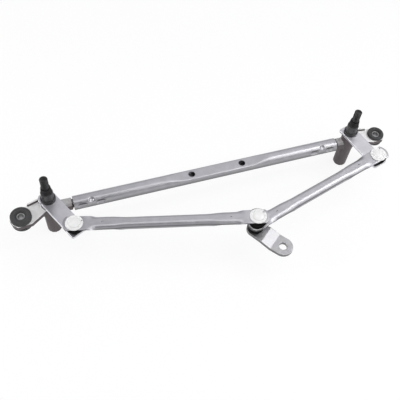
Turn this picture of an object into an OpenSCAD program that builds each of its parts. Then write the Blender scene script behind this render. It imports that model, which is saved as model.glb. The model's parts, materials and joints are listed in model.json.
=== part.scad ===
// Wiper linkage for a windscreen: two spindles in die-cast housings on one cross tube,
// each turned by a lever, with two ball-jointed rods that meet on the motor crank's double ball.
// Lengths are millimetres. X runs along the tube, left spindle to right, Y to the rear, Z up.
// The origin is midway between the motor mounting holes, on the flat of the tube.

/* [Cross tube] */
// Distance between the two spindle axes
spindle_pitch = 500; // [460:5:560]
// Left spindle to the middle of the motor mounting holes
mount_offset = 265.5; // [250:0.5:280]
// Outside diameter of the tube
tube_od = 22; // [20:0.5:24]
// Wall of the tube
tube_wall = 1.5; // [1.2:0.1:2]
// Left spindle to the near end of the tube
left_neck = 34.5; // [30:0.5:42]
// Right spindle to the near end of the tube
right_neck = 24; // [22:0.5:36]
// Depth of the pressed flat below the crown of the tube
flat_drop = 4.5; // [3:0.1:5.5]
// Length of the pressed flat
flat_len = 112; // [100:2:150]
// Length of the run-out at each end of the flat
flat_run = 30; // [20:1:60]
// Diameter of the motor mounting holes
mount_hole_d = 11; // [6.5:0.1:11.5]
// Distance between the motor mounting holes
mount_hole_pitch = 85; // [60:1:95]

/* [Crimps] */
// Depth of the crimps that lock the tube on its housings
crimp_depth = 2.2; // [1.2:0.1:2.6]
// Ball radius of the round crimp
crimp_ball_r = 5; // [4:0.5:7]
// Radius of the long crimps
crimp_bar_r = 3.2; // [2.5:0.1:4]
// Straight length of the long crimps
crimp_bar_len = 9; // [6:0.5:12]
// Tube end to the round crimp
crimp_mid = 27; // [24:0.5:30]
// Long crimps to each side of the round one
crimp_pitch = 14; // [12:0.5:16]
// Height of the round crimp above the front of the tube, as an angle
crimp_angle = 55; // [30:1:70]

/* [Pivot housings] */
// Tube axis to the top of the levers
lever_rise = 24.7; // [23:0.1:28]
// Outside diameter of the bearing barrel
barrel_d = 22.5; // [21.5:0.5:26]
// Growth of the barrel's diameter towards its top, the draft of the casting
barrel_taper = 1.5; // [0:0.1:3]
// Length of the bearing barrel
barrel_len = 71; // [60:1:80]
// Length of the spigot inside the tube
spigot_len = 52; // [48:1:70]
// Width and height of the neck between barrel and tube
neck_size = 17; // [14:0.5:18]
// Chamfer along the neck
neck_chamfer = 4; // [2:0.5:6]
// Thickness of the mounting ear
ear_t = 8; // [6:0.5:9]
// Top of the levers down to the top of the ear
ear_drop = 14; // [13:0.5:16]
// Edge of the ear beyond its grommet
ear_margin = 1.5; // [0:0.1:3]
// Half the width of the ear at the barrel
ear_root = 9; // [7:0.5:11]
// Left spindle to its grommet, along X
left_ear_x = 43.5; // [40:0.5:50]
// Left grommet in front of its spindle
left_ear_y = 13; // [4:0.5:18]
// Right spindle to its grommet, along X
right_ear_x = 48; // [40:0.5:52]
// Right grommet in front of its spindle
right_ear_y = 6; // [4:0.5:18]
// Height of the rear rib above the ear
rib_h = 4.5; // [3:0.5:6]
// Thickness of the rear rib
rib_t = 3; // [2:0.5:4]
// Radius of the hollow webs under the ear and the neck
web_r = 17; // [14:0.5:20]
// Thickness of those webs
web_t = 11; // [8:0.5:14]

/* [Spindles] */
// Diameter of the spindle shaft in its bushes
shaft_d = 12; // [10:0.5:12]
// Spindle height above the lever
spindle_h = 51; // [46:0.5:58]
// Diameter of the wiper arm stud
stud_d = 12; // [10:0.5:12]
// Length of the wiper arm stud
stud_len = 21; // [18:0.5:24]
// Length of the knurled cone
cone_len = 11.5; // [9:0.5:13]
// Diameter of the cone at its foot
cone_d = 17.2; // [16:0.2:17.4]
// Diameter of the plain drum under the cone
drum_d = 18.4; // [18:0.2:19.4]
// Diameter of the collar on the lever
collar_d = 22.5; // [21:0.5:24]
// Height of the collar
collar_h = 5; // [4:0.5:6]
// Diameter of the pressed seat in the lever
seat_d = 14; // [13.5:0.5:15]
// Outside diameter of the bushes
bush_od = 15; // [14.5:0.5:16]
// Length of each bush
bush_len = 20; // [14:1:24]
// Thickness of the thrust washers
washer_t = 1.5; // [1:0.1:2]
// Thickness of the circlip
clip_t = 1.2; // [1:0.1:1.5]

/* [Levers] */
// Spindle axis to ball axis
lever_len = 65; // [58:0.5:72]
// Width of the levers
lever_w = 26; // [24:0.5:30]
// Thickness of the levers
lever_t = 4; // [3:0.5:5]
// Lever length behind the spindle
lever_tail = 14; // [12.5:0.5:17]
// Lever length beyond the ball
lever_nose = 11.5; // [9:0.5:14]
// Radius of the levers' outer corners
lever_corner = 3; // [2:0.5:6]
// Radius of the left lever's corners behind the spindle
left_tail_corner = 9; // [2:0.5:12]
// Radius of the right lever's corners behind the spindle
right_tail_corner = 3; // [2:0.5:12]
// Direction of the left lever from the X axis
left_lever_angle = -65; // [-75:1:-60]
// Direction of the right lever from the X axis
right_lever_angle = -75; // [-80:1:-70]

/* [Ball joints] */
// Diameter of the balls
ball_d = 13; // [12:0.5:13.5]
// Top of a plate to the ball's centre above it
ball_rise = 8.5; // [8.5:0.5:10]
// Diameter of the neck under a ball
ball_neck_d = 8; // [7:0.5:8.5]
// Diameter of a ball pin's shank
shank_d = 10; // [8:0.5:11]
// Diameter of the riveted end of a ball pin
rivet_d = 14; // [13:0.5:16]
// Height of the riveted end
rivet_h = 2.4; // [1.5:0.1:3]
// Diameter of the socket's cap
cap_d = 25.5; // [23:0.5:26]
// Height of the socket's cap above the rod
cap_h = 4; // [3.8:0.1:5]
// Diameter of the socket's body in the rod
socket_d = 20; // [19:0.5:21]
// Crank pin to the right of the middle of the motor mounting holes
crank_pin_x = 19; // [0:0.5:40]
// Crank pin in front of the tube's axis
crank_pin_y = 123; // [105:0.5:140]
// Distance between the two balls on the crank pin
double_pitch = 21; // [20:0.5:24]
// Upper ball of the crank pin above the lever tops
crank_pin_rise = 14.1; // [10:0.1:17]

// Radius of the boots under the outer pads
boot_r = 14; // [12:0.5:15]
// Radius of the tall boot between the two rods
tall_boot_r = 15.5; // [13:0.5:16]
// How much the tall boot narrows towards its mouth
tall_boot_taper = 4.2; // [1:0.1:5]
// Radius of the lowest boot, on the crank
low_boot_r = 13; // [12.5:0.5:15]
// How much the other boots narrow towards their mouths
boot_taper = 2.5; // [1:0.1:2.5]

/* [Rods] */
// Sheet thickness of the rods
sheet = 2; // [1.5:0.1:2.2]
// Width of the pads at the rod ends
pad_w = 27; // [26:0.5:32]
// Ball axis to the rounded end of a pad
pad_reach = 16.5; // [15:0.5:18]
// Radius of the right rod's inner pad, under the left rod
under_pad_r = 12.5; // [12:0.5:14]
// Width of the strip between a pad and the channel
strip_w = 22; // [20:0.5:25]
// Width of the channel
channel_w = 16.5; // [15:0.5:20]
// Outer corner radius of the channel
channel_r = 5; // [3:0.5:6]
// Depth of the channel's straight flanges
flange_depth = 6; // [5.5:0.5:8]
// Height of the lips below the flanges, along the middle of a rod
lip_h = 2; // [1:0.5:4]
// How far the lips turn out
lip_w = 0.8; // [0.4:0.1:2]
// Ball axis to the start of the channel
channel_start = 23; // [22:0.5:30]
// Ball axis to the pilot hole
pilot_reach = 38; // [36:0.5:42]
// Diameter of the pilot holes
pilot_d = 2.6; // [2:0.2:3]

/* [Motor crank] */
// Ball axis to the shaft hole
crank_len = 49.5; // [46:0.5:54]
// Width of the crank
crank_w = 30.5; // [28:0.5:33]
// Radius of the crank's end around the ball pin
crank_pin_end_r = 13; // [11:0.5:16]
// Thickness of the crank
crank_t = 5.5; // [4:0.5:6]
// Height of the crank's offset bend
crank_drop = 5; // [3:0.5:9]
// Ball axis to the upper bend
crank_bend = 19.5; // [17:0.5:20]
// Length of the sloping part, seen from above
crank_ramp = 16; // [12:0.5:17]
// Diameter of the shaft hole
crank_hole_d = 12; // [9:0.5:13]
// Direction of the crank from the X axis
crank_angle = -51; // [-180:1:180]

/* [Rubber mounts] */
// Diameter of the left grommet
left_grommet_d = 31; // [27:0.5:33]
// Diameter of the right grommet
right_grommet_d = 27.5; // [25:0.5:33]
// Diameter of the grommet's waist in the ear
waist_d = 18; // [17:0.5:20]
// Height of the left grommet above its ear
left_grommet_up = 8; // [5:0.5:9]
// Height of the right grommet above its ear
right_grommet_up = 5; // [5:0.5:9]
// Height of the grommets below their ears
grommet_down = 5; // [4:0.5:7]
// Outside diameter of the steel sleeve
sleeve_od = 12; // [11.5:0.5:13]
// Bore of the steel sleeve
sleeve_bore = 9; // [6.5:0.1:9.5]
// Depth of the sleeve below the top of the rubber
sleeve_recess = 3; // [1:0.5:4]

/* [Clearances] */
// Radial clearance of a running fit
run_gap = 0.05; // [0.02:0.01:0.1]
// Radial clearance of a ball in its socket
ball_gap = 0.08; // [0.04:0.01:0.1]
// End play of a spindle
end_play = 0.1; // [0.05:0.05:0.3]
// Radial clearance of the spigot in the tube
spigot_gap = 0.05; // [0.02:0.01:0.1]
// Clearance of the right rod around the lower ball of the crank pin
loop_gap = 1.8; // [1.7:0.1:1.9]
// Clearance of a boot's mouth around a ball pin
lip_gap = 0.7; // [0.5:0.1:1]

/* [Hidden] */
$fn = 96;

zinc = [0.74, 0.75, 0.78];
castalloy = [0.62, 0.61, 0.60];
phosphate = [0.16, 0.16, 0.17];
bronze = [0.62, 0.46, 0.26];
rubber = [0.07, 0.07, 0.07];
white_plastic = [0.93, 0.93, 0.92];

tube_axis_z = flat_drop - tube_od / 2;
lever_z = tube_axis_z + lever_rise;
left_x = -mount_offset;
right_x = spindle_pitch - mount_offset;
tube_x0 = left_x + left_neck;
tube_x1 = right_x - right_neck;

// Heights below are measured from the top of the levers
washer_top = -lever_t - end_play;
barrel_top = washer_top - washer_t;
barrel_bottom = barrel_top - barrel_len;
seal_depth = 2.6;
seal_r = 1.2;
seal_pocket_r = bush_od / 2 + 1.4;
clip_pocket_r = bush_od / 2 + 1.8;
clip_pocket = washer_t + clip_t + 2.5;
lower_washer_top = barrel_bottom + clip_pocket;
clip_top = lower_washer_top - washer_t - end_play;
shaft_end = clip_top - clip_t - 1.6;
clip_groove_r = shaft_d / 2 - 0.8;
coin_h = 0.4;
coin_r = collar_d / 2 + 1.4;
shaft_chamfer = 0.6;
collar_chamfer = 1;
drum_chamfer = 0.6;
cone_step = 1.2;
undercut_depth = 0.7;
undercut_len = 1.2;
stud_chamfer = 1.4;
ear_bottom = -ear_drop - ear_t;
relief_out = 2;
relief_in = 3;
relief_r = 6.5;
neck_mark_d = 5;
neck_mark_depth = 0.8;
neck_mark_back = 9;
rib_gap = 1;
ear_back = 1;
// Corners of the ear's end, as shares of its half width
ear_widest = 0.55;
ear_corner = [0.64, 0.78];
ear_end = [0.94, 0.29];
sleeve_lip = 1.2;
sleeve_lip_r = sleeve_od / 2 + 3;
grommet_soft = 1.5;
edge_break = 0.6;

// Sockets: heights measured from the ball's centre
ball_r = ball_d / 2;
pad_top = 3.9;
pad_bottom = pad_top - sheet;
socket_mouth = -4;
mouth_ease = 0.3;
shoulder_h = 1;
shoulder_r = shank_d / 2 + 2;
boot_lift = 1.4;
boot_end = boot_lift - ball_rise;
boot_wall = 1.4;
boot_band = 2.2;
boot_bulge = 0.6;
cap_edge = 1;
dome_r = 9;
dome_groove = 0.4;
dome_shoulder = [6.5, 0.9];
dome_crown = [3.8, 0.2];
ring_rim = 1;
ring_rim_h = 1.2;
tall_boot_clear = 2.7;

// Run-outs of a rod's channel, measured from the start of the channel
shallow_at = 9;
lip_from = 30;
lip_full = 44;
pad_side = 6;
strip_from = 15;
paddle_tail = 13;
rivet_chamfer = 1.6;

// Ball centres
function polar(r, a) = [r * cos(a), r * sin(a)];
left_ball = concat([left_x, 0] + polar(lever_len, left_lever_angle), lever_z + ball_rise);
right_ball = concat([right_x, 0] + polar(lever_len, right_lever_angle), lever_z + ball_rise);
upper_ball = [crank_pin_x, -crank_pin_y, lever_z + crank_pin_rise];
lower_ball = upper_ball - [0, 0, double_pitch];
crank_top_z = lower_ball.z - ball_rise;

function length_of(a, b) = norm(b - a);
function heading(a, b) = atan2(b.y - a.y, b.x - a.x);
function tilt(a, b) = asin((b.z - a.z) / length_of(a, b));

// Shared shapes

// Ring about Z between two radii
module ring(r_out, r_in, z_low, z_high) {
    rotate_extrude()
        translate([r_in, z_low])
            square([r_out - r_in, z_high - z_low]);
}

// Rectangle from a corner, with its corners rounded
module rounded_rect(size, r) {
    translate([r, 0]) square([size.x - 2 * r, size.y]);
    translate([0, r]) square([size.x, size.y - 2 * r]);
    for (x = [r, size.x - r], y = [r, size.y - r])
        translate([x, y]) circle(r);
}

// Section of a flat bar whose upper edges are broken, centred across, top at zero
module broken_section(w, t) {
    polygon([
        [-w / 2, -t], [w / 2, -t], [w / 2, -edge_break],
        [w / 2 - edge_break, 0], [edge_break - w / 2, 0], [-w / 2, -edge_break]
    ]);
}

// Extrude a profile drawn across Y and Z along X
module along_x(x0, x1) {
    translate([x0, 0, 0])
        rotate([90, 0, 90])
            linear_extrude(x1 - x0) children();
}

// Extrude a profile drawn in X and Z across Y
module across_y(w) {
    translate([0, w / 2, 0])
        rotate([90, 0, 0])
            linear_extrude(w) children();
}

// Bar with ball ends along X
module capsule(r, len) {
    translate([-len / 2, 0, 0]) rotate([0, 90, 0]) cylinder(r = r, h = len);
    for (x = [-len / 2, len / 2]) translate([x, 0, 0]) sphere(r);
}

module at_left() { translate([left_x, 0, lever_z]) children(); }
module at_right() { translate([right_x, 0, lever_z]) children(); }

// Place a rod's parts: local X runs from its outer ball to its inner ball
module on_rod(outer, inner) {
    translate(outer)
        rotate([0, -tilt(outer, inner), heading(outer, inner)]) children();
}
module on_left_rod() { on_rod(left_ball, upper_ball) children(); }
module on_right_rod() { on_rod(right_ball, lower_ball) children(); }
left_rod_len = length_of(left_ball, upper_ball);
right_rod_len = length_of(right_ball, lower_ball);

// Cross tube

// The crimps' tools, at one end of the tube with its axis on X and the tube running to +X
module crimp_tools(grow) {
    ball_reach = tube_od / 2 + crimp_ball_r - crimp_depth;
    bar_reach = tube_od / 2 + crimp_bar_r - crimp_depth;
    translate([crimp_mid, -ball_reach * cos(crimp_angle), ball_reach * sin(crimp_angle)])
        sphere(crimp_ball_r + grow);
    for (side = [-1, 1], step = [-1, 1])
        translate([crimp_mid + step * crimp_pitch, side * bar_reach, 0])
            capsule(crimp_bar_r + grow, crimp_bar_len);
}

// The tube's outer form, or with an inset its hollow
module tube_form(inset) {
    over = inset > 0 ? 1 : 0;
    flat_end = flat_len / 2 + flat_run * (1 + 1 / flat_drop);
    difference() {
        translate([tube_x0 - over, 0, tube_axis_z])
            rotate([0, 90, 0])
                cylinder(d = tube_od - 2 * inset, h = tube_x1 - tube_x0 + 2 * over);
        translate([0, 0, -inset])
            across_y(2 * tube_od)
                polygon([
                    [-flat_end, flat_drop + 1], [-flat_len / 2, 0],
                    [flat_len / 2, 0], [flat_end, flat_drop + 1]
                ]);
        translate([tube_x0, 0, tube_axis_z]) crimp_tools(inset);
        translate([tube_x1, 0, tube_axis_z]) mirror([1, 0, 0]) crimp_tools(inset);
    }
}

module frame_tube() {
    color(zinc)
        difference() {
            tube_form(0);
            tube_form(tube_wall);
            for (x = [-1, 1] * mount_hole_pitch / 2)
                translate([x, 0, -tube_od]) cylinder(d = mount_hole_d, h = 2 * tube_od);
        }
}

// Pivot housings, drawn with the spindle on Z, the tube towards +X and the ear towards -X

// Work along the ear: X from the grommet away from the spindle, Y to the front
module at_ear(ear) {
    translate([-ear.x, -ear.y, 0])
        rotate([0, 0, 180 + atan2(ear.y, ear.x)]) children();
}

// Many-sided end around the grommet, widest in front of it and drawn in to the barrel
module ear_outline(reach, half) {
    polygon([
        [-reach, ear_root], [barrel_d / 2 - reach, ear_root], [-ear_widest * half, half],
        ear_corner * half, ear_end * half, [ear_end.x * half, -ear_end.y * half],
        [ear_corner.x * half, -ear_corner.y * half], [0, ear_back - half], [-reach, ear_back - half]
    ]);
}

// Upright web that starts at x0 under a face at zero and is hollow-ground towards +X
module hollow_web(x0) {
    difference() {
        translate([x0, -web_t / 2, -web_r]) cube([barrel_d / 2 + web_r, web_t, web_r + 1]);
        translate([x0 + barrel_d / 2 + web_r, 0, -web_r])
            rotate([90, 0, 0]) cylinder(r = web_r, h = web_t + 2, center = true);
    }
}

module pivot_housing(neck, ear, grommet_d) {
    reach = norm(ear);
    half_ear = grommet_d / 2 + ear_margin;
    axis_z = -lever_rise;
    half = neck_size / 2;
    cut = half - neck_chamfer;
    spigot_r = tube_od / 2 - tube_wall - spigot_gap;
    difference() {
        union() {
            translate([0, 0, barrel_bottom])
                cylinder(d1 = barrel_d, d2 = barrel_d + barrel_taper, h = barrel_len);
            translate([0, 0, axis_z])
                along_x(0, neck - relief_out)
                    polygon([
                        [-half, -cut], [-cut, -half], [cut, -half], [half, -cut],
                        [half, cut], [cut, half], [-cut, half], [-half, cut]
                    ]);
            translate([0, 0, axis_z])
                rotate([0, 90, 0]) cylinder(r = relief_r, h = neck + spigot_len);
            translate([neck + relief_in, 0, axis_z])
                rotate([0, 90, 0]) cylinder(r = spigot_r, h = spigot_len - relief_in);
            intersection() {
                translate([0, 0, axis_z - half]) hollow_web(0);
                translate([0, -web_t, barrel_bottom]) cube([neck - relief_out, 2 * web_t, barrel_len]);
            }
            at_ear(ear) {
                translate([0, 0, ear_bottom]) linear_extrude(ear_t) ear_outline(reach, half_ear);
                translate([-reach, ear_back - half_ear, ear_bottom])
                    cube([reach - grommet_d / 2 - rib_gap, rib_t, ear_t + rib_h]);
                translate([0, 0, ear_bottom]) hollow_web(-reach);
            }
        }
        translate([0, 0, barrel_bottom - 1]) cylinder(d = bush_od, h = barrel_len + 2);
        translate([0, 0, barrel_top - seal_depth]) cylinder(r = seal_pocket_r, h = seal_depth + 1);
        translate([0, 0, barrel_bottom - 1]) cylinder(r = clip_pocket_r, h = clip_pocket + 1);
        translate([-ear.x, -ear.y, ear_bottom - 1]) cylinder(d = waist_d, h = ear_t + 2);
        translate([neck - neck_mark_back, 0, axis_z + half - neck_mark_depth])
            cylinder(d = neck_mark_d, h = neck_mark_depth + 1);
        translate([neck, 0, axis_z]) crimp_tools(tube_wall + spigot_gap);
    }
}

left_ear = [left_ear_x, left_ear_y];
right_ear = [right_ear_x, right_ear_y];
module left_housing() { color(castalloy) at_left() pivot_housing(left_neck, left_ear, left_grommet_d); }
module right_housing() {
    color(castalloy)
        at_right() mirror([1, 0, 0]) pivot_housing(right_neck, right_ear, right_grommet_d);
}

// Bearings and what keeps a spindle in its barrel

module upper_bush() {
    color(bronze) {
        top = barrel_top - seal_depth;
        ring(bush_od / 2, shaft_d / 2 + run_gap, top - bush_len, top);
    }
}
module lower_bush() {
    color(bronze) ring(bush_od / 2, shaft_d / 2 + run_gap, lower_washer_top, lower_washer_top + bush_len);
}
module seal_ring() {
    color(rubber)
        translate([0, 0, barrel_top - seal_depth + seal_r])
            rotate_extrude() translate([shaft_d / 2 + run_gap + seal_r, 0]) circle(seal_r);
}
module thrust_washer() {
    color(zinc) ring(barrel_d / 2, shaft_d / 2 + 2 * run_gap, barrel_top, washer_top);
}
module lower_washer() {
    bottom = lower_washer_top - washer_t;
    color(zinc) ring(clip_pocket_r - run_gap, shaft_d / 2 + 2 * run_gap, bottom, lower_washer_top);
}
module circlip() {
    ear_hole = 1.4;
    clip_r = shaft_d / 2 + 2;
    color(phosphate)
        translate([0, 0, clip_top - clip_t])
            linear_extrude(clip_t)
                difference() {
                    circle(clip_r);
                    circle(clip_groove_r);
                    translate([0, -ear_hole]) square([clip_r + 1, 2 * ear_hole]);
                }
}

module left_upper_bush() { at_left() upper_bush(); }
module left_lower_bush() { at_left() lower_bush(); }
module right_upper_bush() { at_right() upper_bush(); }
module right_lower_bush() { at_right() lower_bush(); }
module left_seal_ring() { at_left() seal_ring(); }
module right_seal_ring() { at_right() seal_ring(); }
module left_thrust_washer() { at_left() thrust_washer(); }
module right_thrust_washer() { at_right() thrust_washer(); }
module left_lower_washer() { at_left() lower_washer(); }
module right_lower_washer() { at_right() lower_washer(); }
module left_circlip() { at_left() circlip(); }
module right_circlip() { at_right() circlip(); }

// Rubber mounts

module grommet(d, up) {
    soft = grommet_soft;
    top = up - ear_drop;
    bottom = ear_bottom - grommet_down;
    r = d / 2;
    color(rubber)
        rotate_extrude()
            polygon([
                [sleeve_od / 2, bottom], [r - soft, bottom], [r, bottom + soft], [r, ear_bottom],
                [waist_d / 2, ear_bottom], [waist_d / 2, -ear_drop], [r, -ear_drop],
                [r, top - soft], [r - soft / 2, top - soft / 3], [r - soft, top],
                [sleeve_od / 2 + soft, top], [sleeve_od / 2, top - sleeve_recess]
            ]);
}
module sleeve(up) {
    bottom = ear_bottom - grommet_down;
    color(zinc) {
        ring(sleeve_od / 2, sleeve_bore / 2, bottom, up - ear_drop - sleeve_recess);
        ring(sleeve_lip_r, sleeve_bore / 2, bottom - sleeve_lip, bottom);
    }
}
module at_left_ear() { at_left() translate([-left_ear.x, -left_ear.y, 0]) children(); }
module at_right_ear() { at_right() translate([right_ear.x, -right_ear.y, 0]) children(); }
module left_grommet() { at_left_ear() grommet(left_grommet_d, left_grommet_up); }
module right_grommet() { at_right_ear() grommet(right_grommet_d, right_grommet_up); }
module left_sleeve() { at_left_ear() sleeve(left_grommet_up); }
module right_sleeve() { at_right_ear() sleeve(right_grommet_up); }

// Spindles and levers

module spindle() {
    stud_r = stud_d / 2;
    collar_r = collar_d / 2;
    drum_r = drum_d / 2;
    shaft_r = shaft_d / 2;
    collar_top = coin_h + collar_h;
    cone_top = spindle_h - stud_len;
    drum_top = cone_top - cone_len;
    undercut_r = stud_r - undercut_depth;
    thread_start = cone_top + undercut_len + undercut_depth;
    color(phosphate)
        rotate_extrude()
            polygon([
                [0, shaft_end], [shaft_r - shaft_chamfer, shaft_end], [shaft_r, shaft_end + shaft_chamfer],
                [shaft_r, clip_top - clip_t], [clip_groove_r, clip_top - clip_t],
                [clip_groove_r, clip_top], [shaft_r, clip_top], [shaft_r, -lever_t],
                [seat_d / 2, -lever_t], [seat_d / 2, coin_h], [collar_r, coin_h],
                [collar_r, collar_top - collar_chamfer], [collar_r - collar_chamfer, collar_top],
                [drum_r, collar_top], [drum_r, drum_top - drum_chamfer], [drum_r - drum_chamfer, drum_top],
                [cone_d / 2, drum_top], [stud_r + cone_step, cone_top], [undercut_r, cone_top],
                [undercut_r, cone_top + undercut_len], [stud_r, thread_start],
                [stud_r, spindle_h - stud_chamfer], [stud_r - stud_chamfer, spindle_h], [0, spindle_h]
            ]);
}

// Plan of a lever with its own corner radius behind the spindle
module lever_plan(tail_corner) {
    end = lever_len + lever_nose;
    half = lever_w / 2;
    translate([0, -half]) square([end - lever_corner, lever_w]);
    translate([0, lever_corner - half]) square([end, lever_w - 2 * lever_corner]);
    translate([tail_corner - lever_tail, -half]) square([lever_tail, lever_w]);
    translate([-lever_tail, tail_corner - half]) square([lever_tail, lever_w - 2 * tail_corner]);
    for (side = [-1, 1]) {
        translate([end - lever_corner, side * (half - lever_corner)]) circle(lever_corner);
        translate([tail_corner - lever_tail, side * (half - tail_corner)]) circle(tail_corner);
    }
}

// Lever with its top at zero, running along X from the spindle
module lever(tail_corner) {
    color(zinc)
        difference() {
            union() {
                intersection() {
                    translate([0, 0, -lever_t]) linear_extrude(lever_t) lever_plan(tail_corner);
                    along_x(-lever_tail, lever_len + lever_nose) broken_section(lever_w, lever_t);
                }
                translate([0, 0, -lever_t / 2]) cylinder(r = coin_r, h = lever_t / 2 + coin_h);
            }
            translate([0, 0, -lever_t - 1]) cylinder(d = seat_d, h = lever_t + 2);
            translate([lever_len, 0, -lever_t - 1]) cylinder(d = shank_d, h = lever_t + 2);
        }
}

module left_spindle() { at_left() spindle(); }
module right_spindle() { at_right() spindle(); }
module left_lever() { at_left() rotate([0, 0, left_lever_angle]) lever(left_tail_corner); }
module right_lever() { at_right() rotate([0, 0, right_lever_angle]) lever(right_tail_corner); }

// Ball pins, drawn with a ball's centre at the origin

// Riveted foot under a plate whose top lies ball_rise below the ball
module pin_foot(plate_t) {
    under = -ball_rise - plate_t;
    rotate_extrude()
        polygon([
            [0, under - rivet_h], [rivet_d / 2 - rivet_chamfer, under - rivet_h],
            [rivet_d / 2, under - rivet_h / 2], [rivet_d / 2, under],
            [shank_d / 2, under], [shank_d / 2, -ball_rise],
            [shoulder_r, -ball_rise], [shoulder_r, shoulder_h - ball_rise],
            [ball_neck_d / 2, shoulder_h - ball_rise], [ball_neck_d / 2, -ball_r / 2], [0, -ball_r / 2]
        ]);
}
module ball_pin() {
    color(zinc) {
        sphere(ball_r);
        pin_foot(lever_t);
    }
}
module left_ball_pin() { translate(left_ball) ball_pin(); }
module right_ball_pin() { translate(right_ball) ball_pin(); }
module crank_pin() {
    color(zinc)
        translate(lower_ball) {
            sphere(ball_r);
            pin_foot(crank_t);
            cylinder(d = ball_neck_d, h = double_pitch);
            translate([0, 0, double_pitch]) sphere(ball_r);
        }
}

// Rods, drawn with the outer ball's centre at the origin and the inner ball on +X

// Flat paddle at a rod's end: a pad with a rounded end that narrows to a strip and then to the channel
module paddle(reach, half) {
    tail_x = channel_start + paddle_tail;
    intersection() {
        circle(reach);
        translate([-reach, -half]) square([2 * reach, 2 * half]);
    }
    for (side = [0, 1])
        mirror([0, side])
            polygon([
                [0, 0], [0, half], [pad_side, half], [strip_from, strip_w / 2], [channel_start, strip_w / 2],
                [tail_x, channel_w / 2 - channel_r], [tail_x, 0]
            ]);
}

// Section of the pressed channel, open below, top at zero
module channel_section() {
    difference() {
        translate([-channel_w / 2, -flange_depth - channel_r])
            rounded_rect([channel_w, flange_depth + channel_r], channel_r);
        translate([sheet - channel_w / 2, -flange_depth - 2 * channel_r])
            rounded_rect([channel_w - 2 * sheet, flange_depth + 2 * channel_r - sheet], channel_r - sheet);
        translate([-channel_w, -flange_depth - 2 * channel_r]) square([2 * channel_w, 2 * channel_r]);
    }
}

// Section of the lips: each flange turned out below its straight part
module lip_section() {
    for (side = [0, 1])
        mirror([side, 0])
            translate([channel_w / 2, -flange_depth])
                polygon([
                    [-sheet, 0], [-sheet, sheet / 2], [0, sheet / 2], [0, 0],
                    [lip_w, -lip_h], [lip_w - sheet, -lip_h]
                ]);
}

// Pressed rod: paddles, a channel whose flanges run out at the ends, lips along the middle,
// socket holes and pilot holes
module pressed_rod(len, inner_reach, inner_half) {
    near = channel_start;
    far = len - channel_start;
    deep = flange_depth + lip_h;
    color(zinc)
        translate([0, 0, pad_top])
            difference() {
                union() {
                    translate([0, 0, -sheet]) linear_extrude(sheet) paddle(pad_reach, pad_w / 2);
                    translate([len, 0, -sheet])
                        mirror([1, 0, 0]) linear_extrude(sheet) paddle(inner_reach, inner_half);
                    intersection() {
                        along_x(near, far) {
                            channel_section();
                            lip_section();
                        }
                        across_y(2 * channel_w)
                            polygon([
                                [near, 1], [near, -sheet], [near + shallow_at, -flange_depth],
                                [near + lip_from, -flange_depth], [near + lip_full, -deep],
                                [far - lip_full, -deep], [far - lip_from, -flange_depth],
                                [far - shallow_at, -flange_depth], [far, -sheet], [far, 1]
                            ]);
                    }
                }
                for (x = [0, len]) translate([x, 0, -sheet - 1]) cylinder(d = socket_d, h = sheet + 2);
                for (x = [pilot_reach, len - pilot_reach])
                    translate([x, 0, -sheet - 1]) cylinder(d = pilot_d, h = sheet + 2);
            }
}
module left_rod() { on_left_rod() pressed_rod(left_rod_len, pad_reach, pad_w / 2); }
module right_rod() { on_right_rod() pressed_rod(right_rod_len, under_pad_r, under_pad_r); }

// Plastic socket with a domed, brimmed cap above the rod and a snap mouth below
module capped_socket() {
    r = cap_d / 2;
    body_r = socket_d / 2;
    top = pad_top + cap_h;
    brim = pad_top + cap_edge;
    color(white_plastic)
        difference() {
            rotate_extrude()
                polygon([
                    [0, socket_mouth], [body_r - cap_edge, socket_mouth], [body_r, socket_mouth + cap_edge],
                    [body_r, pad_top], [r, pad_top], [r, brim], [r - cap_edge / 2, brim + cap_edge / 2],
                    [dome_r + cap_edge, brim + cap_edge / 2], [dome_r, brim + cap_edge / 2 - dome_groove],
                    [dome_r - cap_edge / 2, brim + cap_edge], [dome_shoulder.x, top - dome_shoulder.y],
                    [dome_crown.x, top - dome_crown.y], [0, top]
                ]);
            sphere(ball_r + ball_gap);
            translate([0, 0, socket_mouth - 1]) cylinder(r = mouth_r, h = 2);
        }
}
mouth_r = sqrt((ball_r + ball_gap) ^ 2 - socket_mouth ^ 2) + mouth_ease;

ring_cavity_r = ball_r + loop_gap;
ring_mouth_r = ball_neck_d / 2 + loop_gap + lip_gap;
ring_low = -sqrt(ring_cavity_r ^ 2 - ring_mouth_r ^ 2);

// Ring socket of the rod below: open above and below, so that the crank pin passes through it
module ring_socket() {
    body_r = socket_d / 2;
    color(white_plastic)
        difference() {
            rotate_extrude()
                polygon([
                    [ring_mouth_r, ring_low], [body_r, ring_low], [body_r, pad_top],
                    [body_r + ring_rim, pad_top], [body_r + ring_rim, pad_top + ring_rim_h / 2],
                    [body_r, pad_top + ring_rim_h],
                    [ring_mouth_r, pad_top + ring_rim_h]
                ]);
            sphere(ring_cavity_r);
        }
}

module left_rod_outer_socket() { on_left_rod() capped_socket(); }
module left_rod_inner_socket() { on_left_rod() translate([left_rod_len, 0, 0]) capped_socket(); }
module right_rod_outer_socket() { on_right_rod() capped_socket(); }
module right_rod_inner_socket() { on_right_rod() translate([right_rod_len, 0, 0]) ring_socket(); }

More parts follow.
